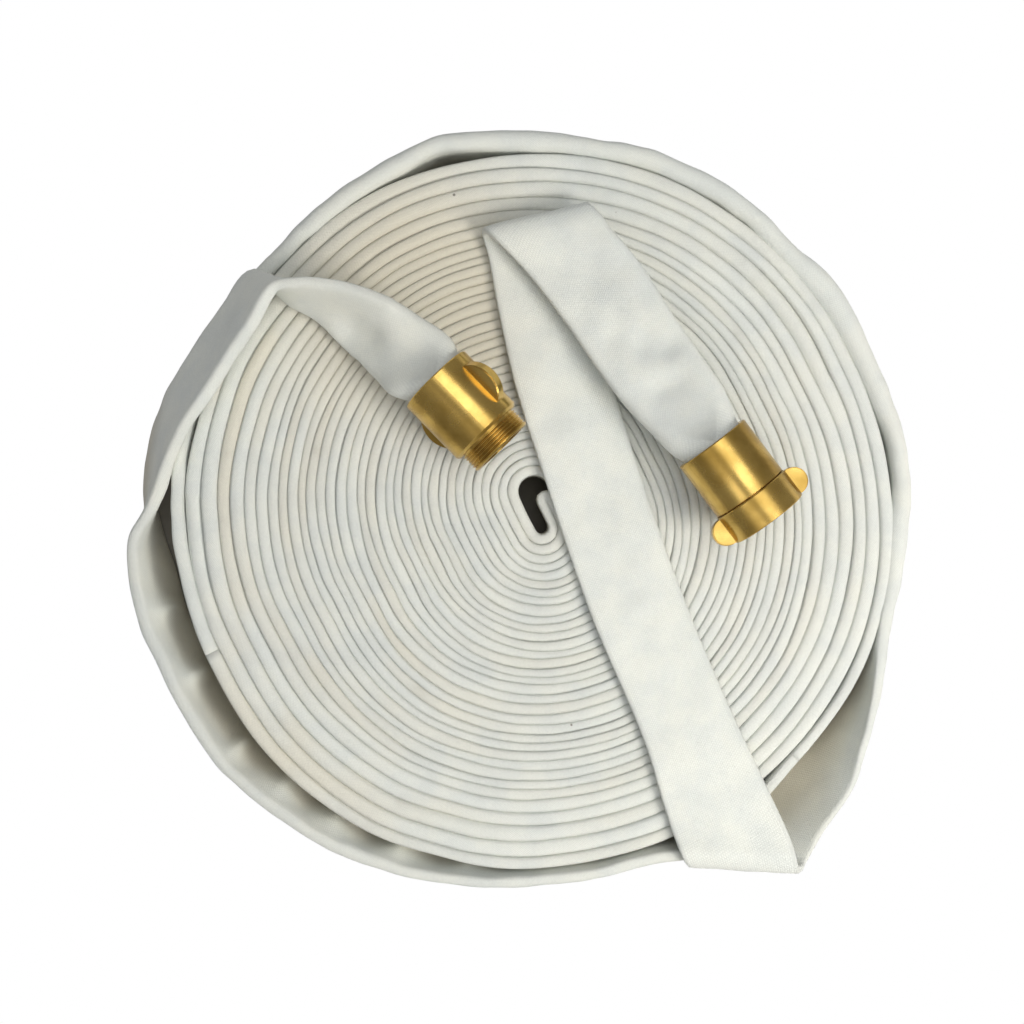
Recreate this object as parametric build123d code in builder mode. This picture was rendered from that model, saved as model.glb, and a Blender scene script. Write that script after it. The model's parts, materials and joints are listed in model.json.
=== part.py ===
from build123d import *
import math
import os

# A lay-flat fire hose, folded in half and rolled from the fold, with its two end couplings lying on top of
# the roll. Millimetres and degrees. +Z is up, the roll lies on Z = 0 and the origin is below the middle of
# the whole. Stretches of hose are lists of stations, measured from the roll's eye. A station is the lower or
# left edge of the flat hose, its upper or right edge, and how thick the hose is between them.

# ---------------------------------------------------------------- driving dimensions

# The hose wall, from outside to inside
outer_jacket_wall = 1.2
inner_jacket_wall = 0.95
liner_wall = 0.65
ply_gap = 0.05
collapsed_bore = 0.2

# The flat hose
hose_width = 66.0
turn_thickness = 8.5
pressed_edge = 1.8
hose_wall = outer_jacket_wall + inner_jacket_wall + liner_wall + 2 * ply_gap
hose_thickness = 2 * hose_wall + collapsed_bore

# The roll: half turns about the two ends of a slot-shaped eye
eye_x = 13.2
eye_y = -1.6
eye_angle = -63.4
eye_half_length = 12.5
eye_offset = 5.0
fold_setback = 16.0
layers = 34
tight_pitch = hose_thickness + 0.1
loosening = 0.0232
male_release = 69.6

# The male coupling, its mouth measured from the eye
male_mouth = (-72.0, 91.0, hose_width + 32.2)
male_heading = -45.8
male_body_radius = 28.0
male_body_length = 52.0
male_edge_break = 0.8
male_shoulder_break = 2.0
nipple_length = 14.5
nipple_relief = 1.6
male_thread_radius = 24.1

# The female coupling, its mouth measured from the eye
female_mouth = (119.0, 46.0, hose_width + 40)
female_heading = -52.9
bowl_radius = 27.5
bowl_length = 43.5
bowl_edge_break = 0.6
swivel_radius = 28.3
swivel_length = 21.5
swivel_gap = 0.5
neck_radius = 23.6
neck_length = 6.0
neck_clearance = 0.12
female_thread_radius = 23.4

# Both threads
thread_pitch = 2.209
thread_depth = 1.1
thread_crest = 0.5
thread_root = 0.3

# Inside both couplings
bore_clearance = 0.05
hose_round_radius = 22.95
hose_end_depth = 33.9
gasket_thickness = 2.6
gasket_play = 0.1
waterway_radius = 18.4
ring_wall = 1.2
ring_setback = 1.5
ring_length = 31.0

# The seal and the ball race of the swivel
seal_radius = 24.4
seal_thickness = 2.8
seal_play = 0.1
race_offset = 3.2
ball_radius = 2.0
race_clearance = 0.08
ball_spacing = 0.12
race_screw_radius = 2.3
race_screw_slot = 0.8
race_screw_angle = 155.0

# Rocker lugs
male_lug_tip = 38.4
male_lug_start = 9.0
male_lug_end = 43.0
male_lug_width = 8.0
male_lug_roll = -51.0
female_lug_tip = 38.8
female_lug_width = 9.0
female_lug_margin = 1.2
lug_sink = 2.0
lug_edge = 0.7

# ---------------------------------------------------------------- values that follow

bore_radius = hose_round_radius + bore_clearance
bore_depth = hose_end_depth + gasket_thickness + 2 * gasket_play
race_radius = neck_radius + neck_clearance / 2
swivel_start = bowl_length + swivel_gap
swivel_end = swivel_start + swivel_length
race_at = bowl_length + race_offset
seal_at = bowl_length + neck_length + seal_play
eye_centre = Vector(eye_x, eye_y, 0)


def heading(angle):
    """Unit vector in the XY plane."""
    return Vector(math.cos(math.radians(angle)), math.sin(math.radians(angle)), 0)


def axial_plane(mouth, angle):
    """Plane of a coupling's section: X runs along its axis from the hose's mouth, Y is up."""
    along = heading(angle)
    return Plane(
        origin=eye_centre + Vector(*mouth),
        x_dir=along,
        z_dir=along.cross(Vector(0, 0, 1)),
    )


def rolled_plane(plane, roll):
    """A coupling's section plane, turned about its axis."""
    return Plane(plane.location * Rotation(roll, 0, 0))


eye_plane = Plane(
    origin=eye_centre + Vector(0, 0, hose_width / 2),
    x_dir=heading(eye_angle),
    z_dir=(0, 0, 1),
)
male_plane = axial_plane(male_mouth, male_heading)
female_plane = axial_plane(female_mouth, female_heading)

# ---------------------------------------------------------------- the roll's centre line


def spacing(index):
    """Distance of a layer from the eye's long axis. The outer layers lie a little looser."""
    return eye_offset + tight_pitch * index + loosening * index**2


def near_arc(layer, sweep=180.0):
    """Half turn at the eye's first end, from one long side to the other."""
    high, low = spacing(layer), spacing(layer + 1)
    return CenterArc((eye_half_length, (high - low) / 2), (high + low) / 2, 90, -sweep)


def far_arc(layer):
    """Half turn at the eye's other end, which leads to the same strand's next layer."""
    low, high = spacing(layer + 1), spacing(layer + 2)
    return CenterArc((-eye_half_length, (high - low) / 2), (high + low) / 2, 270, -180)


def long_side(layer, side):
    """Straight beside the eye."""
    return Line((eye_half_length, side * spacing(layer)), (-eye_half_length, side * spacing(layer)))


def roll_edges():
    """Edges of the roll's centre line: the fold in the eye, the layers about it and the male release."""
    fold_at = eye_half_length - fold_setback
    fold_radius = (spacing(1) - spacing(0)) / 2
    with BuildLine(eye_plane) as fold:
        Line((fold_at, spacing(0)), (eye_half_length, spacing(0)))
        CenterArc((fold_at, spacing(0) + fold_radius), fold_radius, 90, 180)
        Line((fold_at, spacing(1)), (eye_half_length, spacing(1)))
    edges = list(fold.edges())
    for layer in range(layers):
        with BuildLine(eye_plane) as turn:
            near_arc(layer)
            long_side(layer + 1, -1)
            if layer < layers - 1:
                far_arc(layer)
                long_side(layer + 2, 1)
        edges += turn.edges()
    with BuildLine(eye_plane) as end:
        near_arc(layers, male_release)
    return edges + list(end.edges())


roll_path = Wire(roll_edges())
print("hose in the roll, mm:", round(roll_path.length))


def local_end(x, y):
    """A point of the eye's frame at the hose's lower edge, as stations measure it."""
    return eye_plane.from_local_coords((x, y, -hose_width / 2)) - eye_centre


release = math.radians(90 - male_release)
release_radius = (spacing(layers) + spacing(layers + 1)) / 2
release_centre = (spacing(layers) - spacing(layers + 1)) / 2
male_start = local_end(
    eye_half_length + release_radius * math.cos(release),
    release_centre + release_radius * math.sin(release),
)
male_start_heading = heading(eye_angle + 90 - male_release - 90)
female_start = local_end(-eye_half_length, -spacing(layers))
female_start_heading = heading(eye_angle + 180)

# ---------------------------------------------------------------- the free stretches


def upright(x, y, thickness=turn_thickness):
    """Station of a stretch that stands on its edge. A turn that nothing presses flat lies thicker."""
    return (x, y, 0), (x, y, hose_width), thickness


def above(point):
    """A point whose height is measured from the top of the roll."""
    x, y, lift = point
    return x, y, hose_width + lift


def leaning(low, high):
    """Station of a flat stretch that stands on the floor, its high edge measured from the roll's top."""
    return low, above(high), hose_thickness


def raised(low, high, thickness=hose_thickness):
    """Station of a stretch that passes over the roll, both edges measured from the roll's top."""
    return above(low), above(high), thickness


def round_stations(mouth, angle):
    """The two stations where the hose is round: at the coupling's mouth and where it ends inside."""
    side = heading(angle + 90) * hose_round_radius
    along = heading(angle)
    depths = (0, hose_end_depth)
    centres = [Vector(*mouth) + along * depth for depth in depths]
    return [(centre - side, centre + side, 2 * hose_round_radius) for centre in centres]


male_turn = [
    upright(male_start.X, male_start.Y, hose_thickness),
    upright(145, -215),
    leaning((105, -240, 0.5), (107, -247, -0.5)),
    leaning((77, -248, 1), (79, -255, -1)),
    leaning((42, -255, 1), (43, -264, -1)),
    leaning((1, -260, 1), (1, -268, -1)),
    leaning((-40, -258, 1), (-42, -267, -1)),
    leaning((-82, -253, 1), (-86, -262, -1)),
    leaning((-128, -241, 1), (-132, -248, -1)),
    leaning((-178, -210, 1), (-186, -218, -1)),
    leaning((-214, -181, 1), (-223, -187, -2)),
    leaning((-248, -129, 1), (-259, -134, -2)),
    leaning((-271, -77, 1), (-283, -80, -2)),
    leaning((-279, -42, 1), (-291, -43, -2)),
    leaning((-285, -21, 1), (-290, -22, -1)),
]
male_tail = [
    male_turn[-1],
    leaning((-293, 8, 4), (-275, 1, 2)),
    leaning((-287, 54, 22), (-255, 46, 14)),
    raised((-271, 91, -28), (-232, 76, 28)),
    raised((-248, 121, -14), (-209, 107, 40)),
    raised((-226, 149, -2), (-192, 127, 50)),
    raised((-204, 170, 5), (-180, 150, 56), 7.0),
    raised((-176, 148, 5), (-163, 154, 56), 7.0),
    raised((-158, 138, 5), (-133, 152, 52), 7.0),
    raised((-138, 118, 6), (-109, 146, 46), 8.0),
    raised((-114, 92, 17), (-86, 136, 36), 14.0),
    raised((-99, 78, 32), (-59, 116, 33), 25.0),
] + round_stations(male_mouth, male_heading)

female_turn = [
    upright(female_start.X, female_start.Y, hose_thickness),
    upright(-245, -62),
    upright(-256, -36),
    upright(-260, -12),
    upright(-258, 21),
    upright(-250, 58),
    upright(-238, 96),
    upright(-222, 129),
    upright(-200, 168),
    upright(-168, 207),
    upright(-132, 231),
    upright(-98, 253),
    upright(-68, 265),
    upright(-42, 270),
    upright(12, 268),
    upright(46, 263),
    upright(80, 255),
    upright(138, 227),
    upright(177, 193),
    upright(217, 153),
    upright(237, 114),
    upright(257, 62),
    upright(264, 28),
    upright(261, -36),
    upright(255, -78),
    leaning((240, -133, 0), (242, -135, 0)),
]
female_tail = [
    female_turn[-1],
    leaning((218, -161, 1), (235, -168, -2)),
    leaning((192, -187, 1), (228, -201, -12)),
    leaning((162, -219, 6), (207, -234, -15)),
    leaning((135, -243, 26), (194, -255, -11)),
    leaning((119, -255, 53), (190, -260, -3)),
    raised((109, -258, 1), (187, -257, 4)),
    raised((103, -249, 7.5), (184, -250, 7)),
    raised((99, -236, 5), (181, -238, 5)),
    raised((89, -209, 4), (161, -193, 4)),
    raised((78, -172, 4), (139, -146, 4)),
    raised((38, -76, 4), (100, -52, 4)),
    raised((1, 33, 4), (64, 53, 4)),
    raised((-17, 90, 4), (48, 107, 4)),
    raised((-29, 145, 4), (36, 159, 4)),
    raised((-37, 186, 5), (28, 202, 5)),
    raised((-40, 196, 8), (32, 214, 8.5)),
    raised((-39, 197, 14), (36, 215, 16)),
    raised((-33, 192, 18), (43, 208, 21)),
    raised((-12, 171, 19), (51, 197, 23)),
    raised((16, 135, 22), (70, 174, 25), 8.0),
    raised((41, 98, 27), (96, 132, 30), 11.0),
    raised((59, 73, 32), (114, 105, 34), 15.0),
    raised((80, 50, 37), (129, 81, 39), 21.0),
    raised((92, 37, 40), (135, 69, 40), 27.0),
] + round_stations(female_mouth, female_heading)


def centre_of(station):
    return (Vector(*station[0]) + Vector(*station[1])) / 2


def station_planes(stations, first, last):
    """Planes across a stretch. X is the hose's width and Z its heading."""
    centres = [centre_of(station) for station in stations]
    runs = [(b - a).normalized() for a, b in zip(centres, centres[1:])]
    headings = [first] + [(a + b).normalized() for a, b in zip(runs, runs[1:])] + [last]
    planes = []
    for station, centre, run in zip(stations, centres, headings):
        width = (Vector(*station[1]) - Vector(*station[0])).normalized()
        square = run - width * run.dot(width)
        planes.append(Plane(origin=eye_centre + centre, x_dir=width, z_dir=square))
    return planes


def width_of(station):
    return (Vector(*station[1]) - Vector(*station[0])).length


least_straight = 0.02


def slot(plane, width, thickness):
    """Outline of the flat hose, or of the round hose if its width is its thickness."""
    with BuildSketch(plane) as section:
        SlotCenterToCenter(max(width - thickness, least_straight), thickness)
    return section.sketch.faces()[0].outer_wire()


def sleeve(label, skin, outer_ends, inner_ends):
    """One ply: a closed sleeve between an outer and an inner skin, its cut ends square."""
    caps = [Face(outline, [hole]) for outline, hole in zip(outer_ends, inner_ends)]
    with BuildPart() as ply:
        add(Solid(Shell(skin + caps)))
    ply.part.label = label
    return ply.part


def free_ply(label, stations, planes, outer, wall):
    """One ply of a free stretch, between two insets of the hose's outer surface."""
    skin, ends = [], []
    for inset in (outer, outer + wall):
        outlines = [
            slot(plane, width_of(station) - 2 * inset, station[2] - 2 * inset)
            for station, plane in zip(stations, planes)
        ]
        for pair in zip(outlines, outlines[1:]):
            skin += Shell.make_loft(pair, ruled=True).faces()
        ends.append((outlines[0], outlines[-1]))
    return sleeve(label, skin, *ends)


def pressed_slot(plane, width, thickness, edge_break):
    """Outline of the hose where it is pressed flat between its neighbours, its edges nearly square."""
    with BuildSketch(plane) as section:
        Rectangle(width, thickness)
        if edge_break:
            chamfer(section.vertices(), edge_break)
    return section.sketch.faces()[0].outer_wire()


def rolled_sleeve(label, wall):
    """The roll: the flat sleeve swept along the roll's centre line."""
    skin, ends = [], []
    planes = [
        Plane(origin=roll_path @ at, x_dir=(0, 0, 1), z_dir=roll_path % at) for at in (0, 1)
    ]
    for inset, edge_break in ((0, pressed_edge), (wall, 0)):
        outlines = [
            pressed_slot(plane, hose_width - 2 * inset, hose_thickness - 2 * inset, edge_break)
            for plane in planes
        ]
        skin += Shell.sweep(outlines[0], roll_path).faces()
        ends.append(outlines)
    return sleeve(label, skin, *ends)


plies = {
    "outer_jacket": (0, outer_jacket_wall),
    "inner_jacket": (outer_jacket_wall + ply_gap, inner_jacket_wall),
    "liner": (outer_jacket_wall + inner_jacket_wall + 2 * ply_gap, liner_wall),
}
male_run_heading = (centre_of(male_tail[1]) - centre_of(male_turn[-2])).normalized()
female_run_heading = (centre_of(female_tail[1]) - centre_of(female_turn[-2])).normalized()
stretches = {
    "male_turn": (male_turn, male_start_heading, male_run_heading),
    "male_tail": (male_tail, male_run_heading, heading(male_heading)),
    "female_turn": (female_turn, female_start_heading, female_run_heading),
    "female_tail": (female_tail, female_run_heading, heading(female_heading)),
}

pieces = [rolled_sleeve("rolled_hose", hose_wall)]
for ply_name, (outer, wall) in plies.items():
    for stretch_name, (stations, first, last) in stretches.items():
        planes = station_planes(stations, first, last)
        pieces.append(free_ply(f"{stretch_name}_{ply_name}", stations, planes, outer, wall))

# ---------------------------------------------------------------- couplings


def thread_outline(start, end, crest, towards_axis):
    """Points of a row of V-shaped grooves from one end of a thread to the other."""
    depth = -thread_depth if towards_axis else thread_depth
    flank = (thread_pitch - thread_crest - thread_root) / 2
    points = [(start, crest)]
    along = start + thread_crest
    while along + 2 * flank + thread_root + thread_crest <= end:
        points += [
            (along, crest),
            (along + flank, crest + depth),
            (along + flank + thread_root, crest + depth),
            (along + 2 * flank + thread_root, crest),
        ]
        along += thread_pitch
    points.append((end, crest))
    return points


def turned(plane, outline):
    """Add a solid of revolution about a coupling's axis, from points along and out from it."""
    with BuildSketch(plane) as section:
        with BuildLine():
            Polyline(*outline, close=True)
        make_face()
    revolve(section.sketch, axis=Axis(plane.origin, plane.x_dir))


def lug(plane, roll, start, end, root, tip, width):
    """Add a rocker lug: a bowed block that stands out from a coupling's body, its long edges broken."""
    side = rolled_plane(plane, roll)
    middle = (start + end) / 2
    for half, top in ((width / 2, tip - lug_edge), (width / 2 - lug_edge, tip)):
        with BuildSketch(side) as block:
            with BuildLine():
                bow = ThreePointArc((start, root), (middle, top), (end, root))
                Polyline(bow @ 1, (end, root - lug_sink), (start, root - lug_sink), bow @ 0)
            make_face()
        extrude(block.sketch, amount=half, both=True)


def ring(label, plane, start, end, inner, outer):
    """A plain ring about a coupling's axis."""
    with BuildPart() as piece:
        turned(plane, [(start, inner), (end, inner), (end, outer), (start, outer)])
    piece.part.label = label
    return piece.part


nipple_start = male_body_length + nipple_relief
nipple_end = male_body_length + nipple_length
male_thread_end = nipple_end - thread_depth
with BuildPart() as male_shank:
    turned(
        male_plane,
        [
            (0, bore_radius),
            (0, male_body_radius - male_edge_break),
            (male_edge_break, male_body_radius),
            (male_body_length - male_shoulder_break, male_body_radius),
            (male_body_length, male_body_radius - male_shoulder_break),
            (male_body_length, male_thread_radius - thread_depth),
            (nipple_start, male_thread_radius - thread_depth),
            *thread_outline(nipple_start, male_thread_end, male_thread_radius, True),
            (nipple_end, male_thread_radius - thread_depth),
            (nipple_end, waterway_radius),
            (bore_depth, waterway_radius),
            (bore_depth, bore_radius),
        ],
    )
    for roll in (male_lug_roll, male_lug_roll + 180):
        lug(
            male_plane,
            roll,
            male_lug_start,
            male_lug_end,
            male_body_radius,
            male_lug_tip,
            male_lug_width,
        )
male_shank.part.label = "male_shank"

neck_end = bowl_length + neck_length
with BuildPart() as female_shank:
    turned(
        female_plane,
        [
            (0, bore_radius),
            (0, bowl_radius - bowl_edge_break),
            (bowl_edge_break, bowl_radius),
            (bowl_length - bowl_edge_break, bowl_radius),
            (bowl_length, bowl_radius - bowl_edge_break),
            (bowl_length, neck_radius),
            (neck_end, neck_radius),
            (neck_end, waterway_radius),
            (bore_depth, waterway_radius),
            (bore_depth, bore_radius),
        ],
    )
    with BuildSketch(female_plane):
        with Locations((race_at, race_radius)):
            Circle(ball_radius + race_clearance)
    revolve(axis=Axis(female_plane.origin, female_plane.x_dir), mode=Mode.SUBTRACT)
female_shank.part.label = "female_shank"

screw_axis = rolled_plane(female_plane, race_screw_angle)
screw_plane = Plane(
    origin=screw_axis.from_local_coords((race_at, 0, 0)),
    x_dir=screw_axis.x_dir,
    z_dir=screw_axis.y_dir,
)
seal_recess = seal_radius + seal_play
seal_end = seal_at + seal_thickness + seal_play
swivel_mouth = swivel_end - thread_depth
with BuildPart() as female_swivel:
    turned(
        female_plane,
        [
            (swivel_start, neck_radius + neck_clearance),
            (swivel_start, swivel_radius - bowl_edge_break),
            (swivel_start + bowl_edge_break, swivel_radius),
            (swivel_end - bowl_edge_break, swivel_radius),
            (swivel_end, swivel_radius - bowl_edge_break),
            (swivel_end, female_thread_radius + thread_depth),
            *reversed(thread_outline(seal_end, swivel_mouth, female_thread_radius, False)),
            (seal_end, seal_recess),
            (neck_end, seal_recess),
            (neck_end, neck_radius + neck_clearance),
        ],
    )
    for roll in (90, 270):
        lug(
            female_plane,
            roll,
            swivel_start + female_lug_margin,
            swivel_end - female_lug_margin,
            swivel_radius,
            female_lug_tip,
            female_lug_width,
        )
    with BuildSketch(female_plane):
        with Locations((race_at, race_radius)):
            Circle(ball_radius + race_clearance)
    revolve(axis=Axis(female_plane.origin, female_plane.x_dir), mode=Mode.SUBTRACT)
    with BuildSketch(screw_plane.offset(race_radius)):
        Circle(race_screw_radius)
    extrude(amount=swivel_radius, mode=Mode.SUBTRACT)
female_swivel.part.label = "female_swivel"

screw_foot = race_radius + ball_radius + race_clearance
screw_head = swivel_radius - race_screw_slot / 2
with BuildPart() as ball_race_screw:
    with BuildSketch(screw_plane.offset(screw_foot)):
        Circle(race_screw_radius - bore_clearance)
    extrude(amount=screw_head - screw_foot)
    with BuildSketch(screw_plane.offset(screw_head)):
        Rectangle(2 * race_screw_radius, race_screw_slot)
    extrude(amount=-race_screw_slot, mode=Mode.SUBTRACT)
ball_race_screw.part.label = "ball_race_screw"

ball_count = math.floor(2 * math.pi * race_radius / (2 * ball_radius + ball_spacing))
race_centre = female_plane.from_local_coords((race_at, 0, 0))
with BuildPart(Plane(origin=race_centre, z_dir=female_plane.x_dir)) as swivel_balls:
    with PolarLocations(race_radius, ball_count):
        Sphere(ball_radius)
swivel_balls.part.label = "swivel_balls"

ring_outer = hose_round_radius - hose_wall - bore_clearance
for side, plane in (("male", male_plane), ("female", female_plane)):
    pieces.append(
        ring(
            f"{side}_expansion_ring",
            plane,
            ring_setback,
            ring_setback + ring_length,
            ring_outer - ring_wall,
            ring_outer,
        )
    )
    pieces.append(
        ring(
            f"{side}_tail_gasket",
            plane,
            hose_end_depth + gasket_play,
            hose_end_depth + gasket_play + gasket_thickness,
            waterway_radius,
            hose_round_radius,
        )
    )
pieces.append(
    ring("swivel_seal", female_plane, seal_at, seal_at + seal_thickness, waterway_radius, seal_radius)
)
pieces += [
    male_shank.part,
    female_shank.part,
    female_swivel.part,
    ball_race_screw.part,
    swivel_balls.part,
]


def free_length(stations):
    """Length of a stretch along its middle, up to the coupling's mouth."""
    centres = [centre_of(station) for station in stations]
    return sum((b - a).length for a, b in zip(centres, centres[1:]))


for stretch_name, (stations, first, last) in stretches.items():
    print(stretch_name, "length, mm:", round(free_length(stations)))

os.makedirs("parts", exist_ok=True)
for piece in pieces:
    export_step(piece, f"parts/{piece.label}.step")
    print(piece.label, "solids:", len(piece.solids()), "volume, cm3:", round(piece.volume / 1000, 2))
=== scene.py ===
"""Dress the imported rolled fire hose: woven canvas, brass couplings, studio light and camera."""

from __future__ import annotations

import json
import logging
import math
from dataclasses import dataclass
from enum import Enum
from typing import TypeVar

import bpy
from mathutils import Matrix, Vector, noise

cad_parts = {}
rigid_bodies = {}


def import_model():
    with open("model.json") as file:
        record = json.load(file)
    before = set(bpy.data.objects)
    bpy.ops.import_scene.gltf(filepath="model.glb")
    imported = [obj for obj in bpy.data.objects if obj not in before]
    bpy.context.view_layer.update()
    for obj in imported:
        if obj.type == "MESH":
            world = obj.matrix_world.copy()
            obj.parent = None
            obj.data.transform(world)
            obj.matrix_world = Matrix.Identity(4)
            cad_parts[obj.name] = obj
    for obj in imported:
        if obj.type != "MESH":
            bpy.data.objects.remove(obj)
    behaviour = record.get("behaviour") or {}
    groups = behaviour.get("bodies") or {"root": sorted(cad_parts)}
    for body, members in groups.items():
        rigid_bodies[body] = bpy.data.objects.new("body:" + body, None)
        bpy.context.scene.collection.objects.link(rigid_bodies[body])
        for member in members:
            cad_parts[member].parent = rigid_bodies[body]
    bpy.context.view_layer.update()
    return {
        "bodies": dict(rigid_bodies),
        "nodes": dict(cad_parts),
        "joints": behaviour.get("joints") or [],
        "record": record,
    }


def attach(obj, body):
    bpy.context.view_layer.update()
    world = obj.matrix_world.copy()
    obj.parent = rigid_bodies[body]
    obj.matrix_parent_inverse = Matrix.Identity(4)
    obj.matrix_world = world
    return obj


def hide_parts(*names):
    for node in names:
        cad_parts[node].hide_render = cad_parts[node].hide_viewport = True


log = logging.getLogger("rolled_hose")

Point = tuple[float, float, float]
Colour = tuple[float, float, float, float]
Value = TypeVar("Value", float, Vector)

# Lengths are in millimetres and places are measured from the roll's eye, until MM and EYE
# bring them into the frame
MM = 0.001
EYE = Vector((13.2, -1.6, 0.0))
UP = Vector((0.0, 0.0, 1.0))

# The hose: its width lying flat, its thickness, the girth of its cloth and its wall
HOSE_WIDTH = 66.0
HOSE_THICKNESS = 6.0
FABRIC_GIRTH = 138.8
HOSE_WALL = 2.9

# The hose where it is round: its radius, and how far it goes into a coupling
ROUND_RADIUS = 22.95
HOSE_DEPTH = 33.9

# Flat side that the cross-section keeps where the hose is round
FLAT_LEFT = 0.02


class Slot(Enum):
    """Material slots of the record."""

    CANVAS = "canvas"
    LINER_RUBBER = "liner_rubber"
    GASKET_RUBBER = "gasket_rubber"
    BRASS = "brass"
    STEEL = "steel"


class Body(Enum):
    """Bodies of the frame that new pieces ride on."""

    HOSE = "hose"


class Gender(Enum):
    """The two ends of the hose, by the thread on their coupling."""

    MALE = "male"
    FEMALE = "female"


class Stretch(Enum):
    """Stretches of a free end: the turn round the roll, and the tail that lies over it."""

    TURN = "turn"
    TAIL = "tail"


class Ply(Enum):
    """Plies of the hose's wall, from the outside in."""

    OUTER_JACKET = "outer_jacket"
    INNER_JACKET = "inner_jacket"
    LINER = "liner"


# ---------------------------------------------------------------- colour and nodes


def linear(hex_colour: str) -> Colour:
    """Turn an sRGB hex colour into a linear RGBA tuple.

    Args:
        hex_colour: Six hex digits, with or without a leading hash.

    Returns:
        The colour as linear red, green, blue and an alpha of one.
    """
    digits = hex_colour.lstrip("#")
    channels = []
    for start in (0, 2, 4):
        value = int(digits[start : start + 2], 16) / 255
        channels.append(value / 12.92 if value <= 0.04045 else ((value + 0.055) / 1.055) ** 2.4)
    return (*channels, 1.0)


def per_metre(size: float) -> float:
    """Scale of a pattern whose features are this many millimetres apart."""
    return 1 / (size * MM)


# Interpolation of a MapRange node, whose sockets are its value, the two ends of the range that it
# comes from and the two ends of the range that it goes to
EASED = "SMOOTHSTEP"


class Nodes:
    """A material's node tree."""

    # Sockets of a Mix node that mixes colours
    FACTOR, FIRST, SECOND, MIXED = 0, 6, 7, 2

    def __init__(self, name: str) -> None:
        """Start an empty tree in a new material.

        Args:
            name: Name of the material.
        """
        self.material = bpy.data.materials.new(name)
        self.material.use_nodes = True
        self.tree = self.material.node_tree
        self.tree.nodes.clear()

    def add(
        self, kind: str, inputs: dict | None = None, output: int | str = 0, **settings: object
    ) -> bpy.types.NodeSocket:
        """Add a node with its settings and links.

        Args:
            kind: Node type without its ShaderNode prefix.
            inputs: Values or sockets by input name or index.
            output: Name or index of the output that is wanted.
            **settings: Properties of the node itself.

        Returns:
            The wanted output of the new node.
        """
        node = self.tree.nodes.new(f"ShaderNode{kind}")
        for key, value in settings.items():
            setattr(node, key, value)
        for key, value in (inputs or {}).items():
            if isinstance(value, bpy.types.NodeSocket):
                self.tree.links.new(value, node.inputs[key])
            else:
                node.inputs[key].default_value = value
        return node.outputs[output]

    def finish(self, shader: bpy.types.NodeSocket) -> bpy.types.Material:
        """Connect a shader to the output.

        Args:
            shader: The shader's output.

        Returns:
            The finished material.
        """
        output = self.tree.nodes.new("ShaderNodeOutputMaterial")
        self.tree.links.new(shader, output.inputs[0])
        return self.material


# ---------------------------------------------------------------- finishes


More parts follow.
